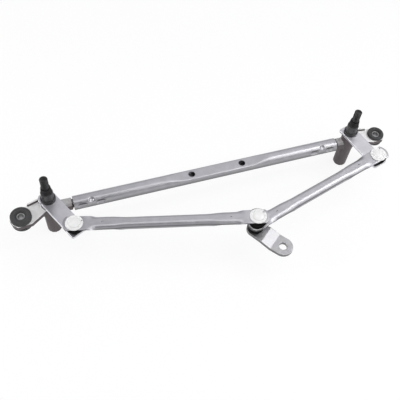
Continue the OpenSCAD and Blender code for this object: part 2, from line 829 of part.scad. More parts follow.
// Rubber boot under a rod: it grips the socket's body down to body_low and closes in on the ball pin
module boot(top_r, taper, end_z, mouth_r, body_low) {
    grip = socket_d / 2;
    end_r = top_r - taper;
    waist = (pad_bottom + end_z) / 2;
    color(rubber)
        rotate_extrude()
            polygon([
                [grip, pad_bottom], [top_r, pad_bottom], [top_r, pad_bottom - boot_band],
                [(top_r + end_r) / 2 + boot_bulge, waist], [end_r, end_z + boot_bulge],
                [end_r - boot_bulge, end_z], [mouth_r, end_z], [mouth_r, end_z + boot_wall],
                [grip, body_low - mouth_ease]
            ]);
}
pin_lip_r = ball_neck_d / 2 + lip_gap;
shoulder_lip_r = shoulder_r + lip_gap;
ring_lip_r = shoulder_lip_r + loop_gap;
tall_boot_end = pad_top + tall_boot_clear - double_pitch;
module outer_boot() { boot(boot_r, boot_taper, boot_end, shoulder_lip_r, socket_mouth); }
module left_rod_outer_boot() { on_left_rod() outer_boot(); }
module left_rod_inner_boot() {
    on_left_rod()
        translate([left_rod_len, 0, 0])
            boot(tall_boot_r, tall_boot_taper, tall_boot_end, pin_lip_r, socket_mouth);
}
module right_rod_outer_boot() { on_right_rod() outer_boot(); }
module right_rod_inner_boot() {
    on_right_rod()
        translate([right_rod_len, 0, 0])
            boot(low_boot_r, boot_taper, boot_end, ring_lip_r, ring_low);
}

// Motor crank, drawn with the ball axis on Z, its upper face at zero and running along X
module crank() {
    half = crank_w / 2;
    slope = atan(crank_drop / crank_ramp);
    shift = crank_t * tan(slope / 2);
    low_start = crank_bend + crank_ramp;
    far = crank_len + half;
    color(zinc)
        difference() {
            intersection() {
                translate([0, 0, -crank_drop - crank_t])
                    linear_extrude(crank_drop + crank_t) {
                        circle(crank_pin_end_r);
                        polygon([
                            [0, -crank_pin_end_r], [crank_bend, -half], [crank_len, -half],
                            [crank_len, half], [crank_bend, half], [0, crank_pin_end_r]
                        ]);
                        translate([crank_len, 0]) circle(half);
                    }
                across_y(crank_w + 2)
                    polygon([
                        [-half - 1, 0], [crank_bend, 0], [low_start, -crank_drop], [far + 1, -crank_drop],
                        [far + 1, -crank_drop - crank_t], [low_start - shift, -crank_drop - crank_t],
                        [crank_bend - shift, -crank_t], [-half - 1, -crank_t]
                    ]);
            }
            translate([0, 0, -crank_t - 1]) cylinder(d = shank_d, h = crank_t + 2);
            translate([crank_len, 0, -crank_drop - crank_t - 1]) cylinder(d = crank_hole_d, h = crank_t + 2);
        }
}
module motor_crank() {
    translate([crank_pin_x, -crank_pin_y, crank_top_z]) rotate([0, 0, crank_angle]) crank();
}

frame_tube();
left_housing();
right_housing();
left_upper_bush();
left_lower_bush();
right_upper_bush();
right_lower_bush();
left_seal_ring();
right_seal_ring();
left_thrust_washer();
right_thrust_washer();
left_lower_washer();
right_lower_washer();
left_circlip();
right_circlip();
left_grommet();
right_grommet();
left_sleeve();
right_sleeve();
left_spindle();
right_spindle();
left_lever();
right_lever();
left_ball_pin();
right_ball_pin();
left_rod();
right_rod();
left_rod_outer_socket();
left_rod_inner_socket();
right_rod_outer_socket();
right_rod_inner_socket();
left_rod_outer_boot();
left_rod_inner_boot();
right_rod_outer_boot();
right_rod_inner_boot();
motor_crank();
crank_pin();
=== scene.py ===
# %% [markdown]
# # A wiper linkage, finished for its portrait
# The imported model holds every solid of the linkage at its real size. This lesson gives those solids
# the finish that the real pieces have: bright zinc on the pressed steel, as-cast alloy on the pivot
# housings, black phosphate on the spindles, rubber and white acetal at the ball joints. A piece whose
# surface needs more than its solid shows is modelled again in the same place. It then stands for its
# node and rides on the same body.

# %% Load the frame
import json
import math
import bmesh
import bpy
from mathutils import Matrix, Vector


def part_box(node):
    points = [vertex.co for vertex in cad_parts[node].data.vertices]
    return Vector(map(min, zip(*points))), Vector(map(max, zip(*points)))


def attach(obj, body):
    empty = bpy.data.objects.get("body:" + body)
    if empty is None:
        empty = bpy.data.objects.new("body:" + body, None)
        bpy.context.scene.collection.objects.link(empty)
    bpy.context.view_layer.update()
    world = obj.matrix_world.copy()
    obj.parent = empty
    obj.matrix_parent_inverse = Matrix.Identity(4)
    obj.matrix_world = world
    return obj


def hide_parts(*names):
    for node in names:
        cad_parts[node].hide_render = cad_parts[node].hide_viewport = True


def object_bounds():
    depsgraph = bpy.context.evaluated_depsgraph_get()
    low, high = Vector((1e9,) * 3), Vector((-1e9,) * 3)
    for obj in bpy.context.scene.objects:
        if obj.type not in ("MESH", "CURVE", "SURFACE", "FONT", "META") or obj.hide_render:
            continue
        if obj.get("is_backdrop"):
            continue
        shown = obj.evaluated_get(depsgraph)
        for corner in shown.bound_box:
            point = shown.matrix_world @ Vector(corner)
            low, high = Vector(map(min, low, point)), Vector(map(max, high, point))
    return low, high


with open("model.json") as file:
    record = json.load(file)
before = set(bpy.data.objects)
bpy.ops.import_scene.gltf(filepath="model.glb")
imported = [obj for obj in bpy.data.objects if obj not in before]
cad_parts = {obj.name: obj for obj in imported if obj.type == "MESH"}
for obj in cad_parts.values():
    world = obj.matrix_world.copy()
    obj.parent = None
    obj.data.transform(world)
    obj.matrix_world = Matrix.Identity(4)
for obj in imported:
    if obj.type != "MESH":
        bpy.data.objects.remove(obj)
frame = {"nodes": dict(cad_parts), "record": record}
cad_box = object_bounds()
MM = 0.001
nodes = frame["nodes"]
record = frame["record"]
body_of = {node: body for body, held in record["behaviour"]["bodies"].items() for node in held}
slot_of = {part["node"]: part["material_slot"] for part in record["subparts"]}
joint_at = {joint["name"]: Vector(joint["pos_m"]) for joint in record["behaviour"]["joints"]}

# %% [markdown]
# ## The camera
# The picture was taken from well above, in front of the left spindle, with the camera rolled a few
# degrees so that the tube climbs to the right. A camera could be moved about until it looks right, but
# the straight tube and the known spindles are enough to solve for it, and these numbers come from that.
# The three angles turn the camera in the order they are listed, and the lens shift puts the optical axis
# where the perspective of the picture has it.

# %% Camera
PICTURE_PX = 400
FOCAL_PX = 622.5
AXIS_PX = (217.3, 204.5)
CAMERA_AT = Vector((-255.3, -544.1, 798.4)) * MM
AZIMUTH, ELEVATION, ROLL = 26.0, 56.3, 8.66
SENSOR_MM = 36.0
NEAREST = 0.01


def turn(degrees, axis):
    return Matrix.Rotation(math.radians(degrees), 4, axis)


lens = bpy.data.cameras.new("portrait")
lens.sensor_width = SENSOR_MM
lens.lens = SENSOR_MM * FOCAL_PX / PICTURE_PX
lens.shift_x = (PICTURE_PX / 2 - AXIS_PX[0]) / PICTURE_PX
lens.shift_y = (AXIS_PX[1] - PICTURE_PX / 2) / PICTURE_PX
lens.clip_start = NEAREST
camera = bpy.data.objects.new("portrait", lens)
camera.matrix_world = (
    Matrix.Translation(CAMERA_AT) @ turn(-AZIMUTH, "Z") @ turn(90 - ELEVATION, "X") @ turn(ROLL, "Z")
)
bpy.context.scene.collection.objects.link(camera)
bpy.context.scene.camera = camera
bpy.context.scene.view_settings.view_transform = "Standard"
print("lens", round(lens.lens, 2), "mm, shift", round(lens.shift_x, 4), round(lens.shift_y, 4))

# %% [markdown]
# ## Floor and light
# Plated metal shows its surroundings more than its own colour, so the light is planned by what each face
# mirrors. A white ground could come from strong lamps, but they would burn out the pale pieces. Here the
# paper floor shows itself as white to the camera and to mirrored rays, and a small share of it is lit as
# paper is, which keeps the object's shadow. The sky is grey, darker in front than behind. Soft boxes give
# each group of faces something to mirror: level faces the ones behind and overhead, folds and the tube the
# ones over the camera and low in front, the crank's slope and the right rod the ones on the right, and the
# left ear the one on the left.

# %% World
SKY_FRONT = (0.20, 0.20, 0.21, 1)
SKY_BACK = (0.45, 0.45, 0.475, 1)
FRONT_Y, BACK_Y = -0.7, 0.8


def add(tree, kind, **values):
    """A new node: plain names set its properties, names with an underscore in front set its inputs."""
    made = tree.nodes.new(kind)
    for name, value in values.items():
        if name.startswith("_"):
            made.inputs[name[1:].replace("_", " ")].default_value = value
        else:
            setattr(made, name, value)
    return made


def join(tree, source, output, target, socket):
    tree.links.new(source.outputs[output], target.inputs[socket])


world = bpy.data.worlds.new("studio")
bpy.context.scene.world = world
world.use_nodes = True
sky = world.node_tree
sky.nodes.clear()
way = add(sky, "ShaderNodeTexCoord")
split = add(sky, "ShaderNodeSeparateXYZ")
join(sky, way, "Generated", split, "Vector")
depth = add(sky, "ShaderNodeMapRange", _From_Min=FRONT_Y, _From_Max=BACK_Y)
join(sky, split, "Y", depth, "Value")
tint = add(sky, "ShaderNodeValToRGB")
tint.color_ramp.elements[0].color = SKY_FRONT
tint.color_ramp.elements[1].color = SKY_BACK
join(sky, depth, "Result", tint, "Fac")
backdrop = add(sky, "ShaderNodeBackground", _Strength=1.0)
join(sky, tint, "Color", backdrop, "Color")
sky_out = add(sky, "ShaderNodeOutputWorld")
join(sky, backdrop, "Background", sky_out, "Surface")
print("sky nodes:", len(sky.nodes))

# %% Floor
FLOOR_HALF = 30.0
FLOOR_GAP = 0.3
floor_z = cad_box[0][2] - FLOOR_GAP * MM
floor_mesh = bpy.data.meshes.new("floor")
bm = bmesh.new()
bmesh.ops.create_grid(bm, x_segments=1, y_segments=1, size=FLOOR_HALF)
bmesh.ops.translate(bm, verts=bm.verts, vec=(0, 0, floor_z))
bm.to_mesh(floor_mesh)
bm.free()
floor = bpy.data.objects.new("floor", floor_mesh)
bpy.context.scene.collection.objects.link(floor)
floor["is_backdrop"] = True
print("floor at", round(floor_z / MM, 1), "mm")

# %% Floor paper
PAPER = (0.93, 0.93, 0.93, 1)
WHITE = (1, 1, 1, 1)
SHADOW_SHARE = 0.14
paper = bpy.data.materials.new("paper_floor")
paper.use_nodes = True
tree = paper.node_tree
tree.nodes.clear()
matt = add(tree, "ShaderNodeBsdfDiffuse", _Color=PAPER)
glow = add(tree, "ShaderNodeEmission", _Color=WHITE, _Strength=1.0)
path = add(tree, "ShaderNodeLightPath")
mirrored = add(tree, "ShaderNodeMath", operation="MAXIMUM")
join(tree, path, "Is Camera Ray", mirrored, 0)
join(tree, path, "Is Glossy Ray", mirrored, 1)
shown = add(tree, "ShaderNodeMath", operation="MAXIMUM")
join(tree, mirrored, "Value", shown, 0)
join(tree, path, "Is Transmission Ray", shown, 1)
glowing = add(tree, "ShaderNodeMath", operation="MULTIPLY")
glowing.inputs[1].default_value = 1 - SHADOW_SHARE
join(tree, shown, "Value", glowing, 0)
blend = add(tree, "ShaderNodeMixShader")
join(tree, glowing, "Value", blend, "Fac")
join(tree, matt, "BSDF", blend, 1)
join(tree, glow, "Emission", blend, 2)
floor_out = add(tree, "ShaderNodeOutputMaterial")
join(tree, blend, "Shader", floor_out, "Surface")
floor_mesh.materials.append(paper)
print("paper nodes:", len(tree.nodes))

# %% Soft boxes
def soft_box(name, at, size, watts, aim=(0, 0, 0)):
    """A rectangular lamp that faces a point of the object."""
    data = bpy.data.lights.new(name, "AREA")
    data.shape = "RECTANGLE"
    data.size, data.size_y = size
    data.energy = watts
    lamp = bpy.data.objects.new(name, data)
    lamp.location = at
    lamp.rotation_euler = (Vector(aim) - Vector(at)).to_track_quat("-Z", "Y").to_euler()
    bpy.context.scene.collection.objects.link(lamp)


soft_box("behind", (0.68, 1.05, 1.5), (2.2, 1.4), 5.4)
soft_box("overhead", (0.70, -0.22, 1.35), (0.9, 0.6), 2.6)
soft_box("overhead_left", (-0.20, -0.15, 1.6), (1.3, 0.9), 4.4, aim=(-0.2, -0.05, 0))
soft_box("over_camera", (0.35, -0.95, 1.15), (0.6, 0.35), 2)
soft_box("right_front", (1.10, -0.80, 0.68), (0.7, 1.5), 5.6, aim=(0.13, -0.09, 0.01))
soft_box("right_high", (0.80, -0.12, 0.95), (0.45, 0.45), 2.3, aim=(0.04, -0.14, 0))
soft_box("left_side", (-1.4, 0.2, 0.75), (0.8, 0.6), 9, aim=(-0.3, -0.02, 0))
soft_box("front_low", (-0.2, -2.2, 0.65), (3.2, 1.3), 8)

# %% [markdown]
# ## Shared effects
# Every finish here is broken up by something fine: the satin of a plated sheet, the skin of a casting, the
# bloom on rubber. Each material could have its own noise, but then every change is made many times. One
# node group makes a two-scale mottle from noise on object coordinates instead, and each material places it
# with its own colours, scales and range of roughness.

# %% Mottle sockets
mottle = bpy.data.node_groups.new("mottle", "ShaderNodeTree")
for name, kind, value in (
    ("Vector", "NodeSocketVector", None),
    ("Scale", "NodeSocketFloat", 200.0),
    ("Fine Scale", "NodeSocketFloat", 2500.0),
    ("Light", "NodeSocketColor", (0.8, 0.8, 0.8, 1)),
    ("Dark", "NodeSocketColor", (0.6, 0.6, 0.6, 1)),
    ("Rough Low", "NodeSocketFloat", 0.3),
    ("Rough High", "NodeSocketFloat", 0.5),
):
    made = mottle.interface.new_socket(name, in_out="INPUT", socket_type=kind)
    if value is not None:
        made.default_value = value
for name, kind in (("Color", "Color"), ("Roughness", "Float"), ("Height", "Float")):
    mottle.interface.new_socket(name, in_out="OUTPUT", socket_type="NodeSocket" + kind)
print("mottle sockets:", [item.name for item in mottle.interface.items_tree])

# %% Mottle nodes
MIX_SHARE, MIX_A, MIX_B, MIX_COLOR = 0, 6, 7, 2
FINE_SHARE = 0.6
ins = add(mottle, "NodeGroupInput")
outs = add(mottle, "NodeGroupOutput")
broad = add(mottle, "ShaderNodeTexNoise", _Detail=3.0, _Roughness=0.55)
join(mottle, ins, "Vector", broad, "Vector")
join(mottle, ins, "Scale", broad, "Scale")
fine = add(mottle, "ShaderNodeTexNoise", _Detail=2.0, _Roughness=0.6)
join(mottle, ins, "Vector", fine, "Vector")
join(mottle, ins, "Fine Scale", fine, "Scale")
spread = add(mottle, "ShaderNodeMapRange", _From_Min=0.3, _From_Max=0.7)
join(mottle, broad, "Fac", spread, "Value")
tone = add(mottle, "ShaderNodeMix", data_type="RGBA")
join(mottle, spread, "Result", tone, MIX_SHARE)
join(mottle, ins, "Dark", tone, MIX_A)
join(mottle, ins, "Light", tone, MIX_B)
join(mottle, tone, MIX_COLOR, outs, "Color")
both = add(mottle, "ShaderNodeMath", operation="MULTIPLY_ADD")
both.inputs[1].default_value = FINE_SHARE
join(mottle, fine, "Fac", both, 0)
part = add(mottle, "ShaderNodeMath", operation="MULTIPLY")
part.inputs[1].default_value = 1 - FINE_SHARE
join(mottle, spread, "Result", part, 0)
join(mottle, part, "Value", both, 2)
gloss = add(mottle, "ShaderNodeMapRange")
join(mottle, both, "Value", gloss, "Value")
join(mottle, ins, "Rough Low", gloss, "To Min")
join(mottle, ins, "Rough High", gloss, "To Max")
join(mottle, gloss, "Result", outs, "Roughness")
join(mottle, fine, "Fac", outs, "Height")
print("mottle group:", len(mottle.nodes), "nodes")

# %% [markdown]
# ## Finishes
# Zinc plate is a satin metal, phosphate a dark one that still shines a little, and rubber and acetal have
# no metal in them. The levers are brighter than the rods, and the rubber of the boots is blacker and less
# glossy than that of the mounts, partly as painted shade under the pads, so these have finishes of their
# own.
# The darker upright sides, roots and holes are painted shade. They could be separate materials with a hard
# border. Instead the mesh keeps a number called shade on its points, and the finish is multiplied by a dark
# tint where that number is one. On the spindles the same number also keeps the rubbed crests and the
# machined drum lighter.

# %% Plain finishes
BUMP_STRENGTH = 0.35


def finish_of(name, light, dark, rough, scale, fine_scale, bump, **constants):
    """A Principled material whose colour, roughness and bump come from the mottle group."""
    material = bpy.data.materials.new(name)
    material.use_nodes = True
    tree = material.node_tree
    shader = tree.nodes["Principled BSDF"]
    for socket_name, value in constants.items():
        shader.inputs[socket_name.replace("_", " ")].default_value = value
    where = add(tree, "ShaderNodeTexCoord")
    skin = add(tree, "ShaderNodeGroup", node_tree=mottle, name="skin")
    skin.inputs["Light"].default_value = light + (1,)
    skin.inputs["Dark"].default_value = dark + (1,)
    skin.inputs["Rough Low"].default_value, skin.inputs["Rough High"].default_value = rough
    skin.inputs["Scale"].default_value = scale
    skin.inputs["Fine Scale"].default_value = fine_scale
    join(tree, where, "Object", skin, "Vector")
    join(tree, skin, "Color", shader, "Base Color")
    join(tree, skin, "Roughness", shader, "Roughness")
    relief = add(tree, "ShaderNodeBump", _Strength=BUMP_STRENGTH, _Distance=bump * MM)
    join(tree, skin, "Height", relief, "Height")
    join(tree, relief, "Normal", shader, "Normal")
    return material


finishes = {
    "bearing_bronze": finish_of("sintered_bronze", (0.52, 0.36, 0.17), (0.36, 0.24, 0.11), (0.4, 0.6),
                                200, 2600, 0.05, Metallic=1.0),
    "black_rubber": finish_of("moulded_rubber", (0.055, 0.055, 0.056), (0.040, 0.040, 0.041), (0.55, 0.8),
                              120, 1600, 0.06, Specular_IOR_Level=0.35),
    "white_plastic": finish_of("white_acetal", (0.80, 0.80, 0.79), (0.74, 0.74, 0.73), (0.25, 0.4),
                               60, 900, 0.02),
}
# The boots' nearly black, weakly glossy rubber is black rubber darkened further as painted shade under the
# pads.
boot_rubber = finish_of("boot_rubber", (0.005, 0.005, 0.005), (0.003, 0.003, 0.003), (0.6, 0.8),
                        120, 1600, 0.06, Specular_IOR_Level=0.07)
lever_zinc = finish_of("lever_zinc", (0.66, 0.655, 0.69), (0.58, 0.575, 0.605), (0.34, 0.5),
                       90, 1800, 0.05, Metallic=1.0)
sleeve_zinc = finish_of("sleeve_zinc", (0.42, 0.42, 0.425), (0.33, 0.33, 0.335), (0.34, 0.5),
                        120, 1800, 0.05, Metallic=1.0)
print("plain finishes:", sorted(finishes), [m.name for m in (boot_rubber, lever_zinc, sleeve_zinc)])

# %% Finishes with painted shade
def shaded(material, tint):
    """Paint shade: multiply a finish by a dark tint where the piece's own attribute "shade" is one."""
    tree = material.node_tree
    mark = add(tree, "ShaderNodeAttribute", attribute_name="shade")
    darker = add(tree, "ShaderNodeMix", data_type="RGBA", blend_type="MULTIPLY")
    darker.inputs[MIX_B].default_value = tint + (1,)
    join(tree, mark, "Fac", darker, MIX_SHARE)
    join(tree, tree.nodes["skin"], "Color", darker, MIX_A)
    join(tree, darker, MIX_COLOR, tree.nodes["Principled BSDF"], "Base Color")
    return material


# The zinc's tint is painted shade on the tube's and rods' upright sides and in the rods' pilot holes.
finishes["zinc_steel"] = shaded(
    finish_of("zinc_plate", (0.50, 0.495, 0.52), (0.435, 0.435, 0.455), (0.30, 0.46), 90, 1800, 0.05,
              Metallic=1.0),
    (0.18, 0.175, 0.175))
# The alloy's brownish tint is painted shade on the housings' sides, barrels and necks.
finishes["cast_alloy"] = shaded(
    finish_of("cast_alloy", (0.86, 0.855, 0.85), (0.79, 0.785, 0.78), (0.45, 0.62), 160, 1400, 0.12,
              Metallic=0.1),
    (0.105, 0.085, 0.089))
# The phosphate's tint is painted shade in the roots of thread and knurl, with less on the rubbed crests.
finishes["dark_steel"] = shaded(
    finish_of("black_phosphate", (0.11, 0.11, 0.113), (0.07, 0.07, 0.073), (0.28, 0.46), 220, 2200, 0.05,
              Metallic=0.6),
    (0.16, 0.16, 0.16))
# The crank's zinc is a darker copy, painted shade against the lamps on its slope, and its tint paints shade
# on its upright sides.
crank_zinc = shaded(
    finish_of("crank_zinc", (0.46, 0.458, 0.47), (0.38, 0.38, 0.39), (0.36, 0.5), 220, 1800, 0.06,
              Metallic=1.0),
    (0.25, 0.245, 0.245))
for node, slot in slot_of.items():
    slots = nodes[node].data.materials
    slots.clear()
    slots.append(finishes[slot])
print("finishes:", sorted(finishes))

# %% [markdown]
# ## From profile to piece
# Most round pieces of a linkage are turned, moulded or pressed about an axis, so their shape is a profile.
# Cylinders could be stacked and joined, but a profile says the same in a few points. The outline is written
# as corner points, some with a radius, and a spin sweeps it round. Rounded corners matter: they are what
# catches the light on a real edge.

# %% Profile helpers
MERGE = 0.0002


def rounded(points, closed=False, steps=4):
    """The outline of (r, z) points in which a point (r, z, radius) gets a rounded corner."""
    out = []
    for i, point in enumerate(points):
        here = Vector(point[:2])
        inner = closed or 0 < i < len(points) - 1
        if len(point) == 2 or not inner:
            out.append(here)
            continue
        radius = point[2]
        back = (Vector(points[i - 1][:2]) - here).normalized()
        on = (Vector(points[(i + 1) % len(points)][:2]) - here).normalized()
        half = back.angle(on) / 2
        middle = here + (back + on).normalized() * radius / math.sin(half)
        start = here + back * radius / math.tan(half) - middle
        end = here + on * radius / math.tan(half) - middle
        out += [middle + start.slerp(end, k / steps) * radius for k in range(steps + 1)]
    return out


def lathe(outline, closed=False, steps=96):
    """Spin an outline in millimetres round Z; an open one starts and ends on the axis or stays open."""
    bm = bmesh.new()
    points = [bm.verts.new((r * MM, 0, z * MM)) for r, z in outline]
    pairs = list(zip(points, points[1:]))
    if closed:
        pairs.append((points[-1], points[0]))
    lines = [bm.edges.new(pair) for pair in pairs]
    bmesh.ops.spin(bm, geom=points + lines, cent=(0, 0, 0), axis=(0, 0, 1), dvec=(0, 0, 0),
                   angle=math.tau, steps=steps, use_merge=True)
    bmesh.ops.remove_doubles(bm, verts=bm.verts, dist=MERGE * MM)
    bmesh.ops.recalc_face_normals(bm, faces=bm.faces)
    return bm


print("a rounded corner takes", len(rounded([(0, 0), (5, 0, 1), (5, 5)])) - 2, "points")

# %% From mesh to piece
def as_piece(bm, node, place=None, sharp=32, finish=None):
    """Finish a mesh: put it in its place, smooth it, and let it stand for a node of the frame."""
    if place:
        bm.transform(place)
    mesh = bpy.data.meshes.new(node + "_looks")
    bm.to_mesh(mesh)
    bm.free()
    mesh.shade_smooth()
    mesh.set_sharp_from_angle(angle=math.radians(sharp))
    mesh.materials.append(finish or finishes[slot_of[node]])
    piece = bpy.data.objects.new(node + "_looks", mesh)
    bpy.context.scene.collection.objects.link(piece)
    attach(piece, body_of[node])
    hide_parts(node)
    return piece


def tell(piece):
    print(piece.name, len(piece.data.polygons), "faces")


print("nodes that a piece can stand for:", len(body_of))

# %% Places on the object
LEFT_AXIS = joint_at["left_spindle_turn"]
RIGHT_AXIS = joint_at["right_spindle_turn"]
DOUBLE_PITCH = 21.0
upper_ball = joint_at["crank_turn"]
lower_ball = upper_ball - Vector((0, 0, DOUBLE_PITCH * MM))


def rod_place(outer, inner):
    """Frame of a rod: origin at its outer ball, X to its inner ball, Y level."""
    along = (inner - outer).normalized()
    across = Vector((0, 0, 1)).cross(along).normalized()
    up = along.cross(across)
    turned = Matrix((along, across, up)).transposed().to_4x4()
    return Matrix.Translation(outer) @ turned


left_rod_place = rod_place(joint_at["left_rod_swing"], upper_ball)
right_rod_place = rod_place(joint_at["right_rod_swing"], lower_ball)
left_rod_len = (upper_ball - joint_at["left_rod_swing"]).length / MM
right_rod_len = (lower_ball - joint_at["right_rod_swing"]).length / MM
left_rod_end = left_rod_place @ Matrix.Translation((left_rod_len * MM, 0, 0))
right_rod_end = right_rod_place @ Matrix.Translation((right_rod_len * MM, 0, 0))
print("rods:", round(left_rod_len, 1), round(right_rod_len, 1), "mm")

# %% [markdown]
# ## Spindles
# A spindle is turned from bar. The stud carries a rolled thread and the cone is knurled so that the wiper
# arm can't slip. A thread could be cut with a swept tool, but that leaves many slivers. Both are a change
# of radius: the thread by height and angle together, which makes a helix, and the knurl by angle alone. So
# the outline is spun with many fine rows, and then each point moves inwards by the depth of the cut there.
# Crests are rubbed bright and the roots get painted shade, and each point keeps that as a shade.

# %% Spindle outline
STUD_R, CONE_R, CONE_TOP_R, DRUM_R, COLLAR_R, SEAT_R, SHAFT_R = 6.0, 8.6, 7.2, 9.2, 11.25, 7.0, 6.0
SPINDLE_H, STUD_LEN, CONE_LEN, COIN_H, COLLAR_H, LEVER_T = 51.0, 21.0, 11.5, 0.4, 5.0, 4.0
SHAFT_END = -75.8
COLLAR_TOP = COIN_H + COLLAR_H
CONE_TOP = SPINDLE_H - STUD_LEN
DRUM_TOP = CONE_TOP - CONE_LEN
CONE_ROWS, TURN_ROWS = 12, 8
UNDERCUT, UNDERCUT_H = 0.7, 1.2
THREAD_PITCH, THREAD_FROM, PLAIN_LEN = 1.5, 1.6, 3.0
STUD_TIP = ((0.0, 1.3), (1.0, 0.3), (1.4, 0.0))


def spindle_outline():
    """Radii and heights up the spindle, with a row for each eighth of a thread and twelfth of the cone."""
    outline = rounded([
        (0, SHAFT_END), (SHAFT_R, SHAFT_END, 0.6), (SHAFT_R, -LEVER_T), (SEAT_R, -LEVER_T, 0.2),
        (SEAT_R, COIN_H), (COLLAR_R, COIN_H, 0.4), (COLLAR_R, COLLAR_TOP, 1.0),
        (DRUM_R, COLLAR_TOP, 0.5), (DRUM_R, DRUM_TOP, 0.7), (CONE_R, DRUM_TOP)
    ])
    for k in range(CONE_ROWS + 1):
        share = k / CONE_ROWS
        outline.append((CONE_R + (CONE_TOP_R - CONE_R) * share, DRUM_TOP + CONE_LEN * share))
    outline += [(STUD_R - UNDERCUT, CONE_TOP), (STUD_R - UNDERCUT, CONE_TOP + UNDERCUT_H)]
    rows = int((STUD_LEN - PLAIN_LEN) / THREAD_PITCH * TURN_ROWS)
    outline += [(STUD_R, CONE_TOP + THREAD_FROM + k * THREAD_PITCH / TURN_ROWS) for k in range(rows + 1)]
    outline += [(STUD_R - less, SPINDLE_H - drop) for less, drop in STUD_TIP]
    return outline + [(0, SPINDLE_H)]


print("spindle outline:", len(spindle_outline()), "points")

# %% Threads and knurls
THREAD_DEPTH, TEETH, TOOTH_DEPTH = 0.75, 48, 0.45
COLUMNS = 192
STUD_FROM, THREAD_FULL, THREAD_FADES, THREAD_ENDS = 1.3, 3.2, 1.9, 1.4
KNURL_RUN, KNURL_FADE, STEP_UP = 1.5, 0.5, 0.01
# Shade marks: the rubbed crests and the lighter machined drum are wear, and the darker roots are painted
# shade.
CREST_SHADE, TIP_SHADE, DRUM_SHADE, COLLAR_SHADE = 0.45, 0.6, 0.2, 0.65
SKIN_DEPTH = 0.5


def smooth(low, high, value):
    """Zero below low, one above high, with an easy start and end."""
    share = min(max((value - low) / (high - low), 0), 1)
    return share * share * (3 - 2 * share)


def cut_at(z, angle):
    """How deep the thread or the knurl is cut at a height and angle, and its mark of wear and painted
    shade.
    """
    if z > CONE_TOP + STUD_FROM:
        run = smooth(CONE_TOP + THREAD_FROM, CONE_TOP + THREAD_FULL, z)
        run *= 1 - smooth(SPINDLE_H - THREAD_FADES, SPINDLE_H - THREAD_ENDS, z)
        wave = abs(2 * ((z / THREAD_PITCH - angle / math.tau) % 1.0) - 1)
        return THREAD_DEPTH * wave * run, CREST_SHADE + (1 - CREST_SHADE) * wave
    if z > DRUM_TOP + STEP_UP:
        run = smooth(DRUM_TOP, DRUM_TOP + KNURL_RUN, z) * (1 - smooth(CONE_TOP - KNURL_FADE, CONE_TOP, z))
        wave = abs(2 * ((angle * TEETH / math.tau) % 1.0) - 1)
        return TOOTH_DEPTH * wave * run, TIP_SHADE + (1 - TIP_SHADE) * wave
    return 0.0, DRUM_SHADE if z > COLLAR_TOP + 0.5 else COLLAR_SHADE


def spindle(node, axis):
    bm = lathe(spindle_outline(), steps=COLUMNS)
    shade = bm.verts.layers.float.new("shade")
    for v in bm.verts:
        radius = math.hypot(v.co.x, v.co.y)
        cut, v[shade] = cut_at(v.co.z / MM, math.atan2(v.co.y, v.co.x))
        if radius > (STUD_R - SKIN_DEPTH) * MM:
            v.co.xy *= 1 - cut * MM / radius
    return as_piece(bm, node, Matrix.Translation(axis), sharp=40)


for node, axis in (("left_spindle", LEFT_AXIS), ("right_spindle", RIGHT_AXIS)):
    tell(spindle(node, axis))

# %% [markdown]
# ## Ball sockets and boots
# The sockets are injection moulded: a brim that rests on the rod, a low dome over the ball with a shallow
# groove round it, and a body that snaps over the ball. The small notch in the brim could be cut by hand,
# but a boolean drill also serves for the small holes of the rods and the holes of the tube. The boots under
# the sockets are soft rubber that grips the body and closes in on the ball pin, with folds that let the
# rod swing. Both are spun from a profile.

# %% Drill
SLIVER = 0.002
DRILL_SIDES, DRILL_LEN = 48, 0.06


def baked(piece):
    """Turn a piece's modifiers into plain mesh, keeping its material."""
    depsgraph = bpy.context.evaluated_depsgraph_get()
    mesh = bpy.data.meshes.new_from_object(piece.evaluated_get(depsgraph))
    old = piece.data
    piece.modifiers.clear()
    piece.data = mesh
    bpy.data.meshes.remove(old)
    mesh.name = piece.name


def drilled(piece, holes, sharp):
    """Cut round holes (centre, axis, radius in metres) through a piece and clean up along them."""
    bm = bmesh.new()
    for centre, axis, radius in holes:
        aim = Vector(axis).to_track_quat("Z", "X").to_matrix().to_4x4()
        bmesh.ops.create_cone(bm, cap_ends=True, segments=DRILL_SIDES, radius1=radius, radius2=radius,
                              depth=DRILL_LEN, matrix=Matrix.Translation(centre) @ aim)
    mesh = bpy.data.meshes.new("drill")
    bm.to_mesh(mesh)
    bm.free()
    drill = bpy.data.objects.new("drill", mesh)
    bpy.context.scene.collection.objects.link(drill)
    cut = piece.modifiers.new("holes", "BOOLEAN")
    cut.operation = "DIFFERENCE"
    cut.solver = "EXACT"
    cut.object = drill
    baked(piece)
    bpy.data.objects.remove(drill)
    bm = bmesh.new()
    bm.from_mesh(piece.data)
    bmesh.ops.dissolve_degenerate(bm, dist=SLIVER * MM, edges=bm.edges)
    bmesh.ops.triangulate(bm, faces=[f for f in bm.faces if len(f.verts) > 4])
    bm.to_mesh(piece.data)
    bm.free()
    piece.data.shade_smooth()
    piece.data.set_sharp_from_angle(angle=math.radians(sharp))


print("drill:", DRILL_SIDES, "sides,", round(DRILL_LEN / MM), "mm long")

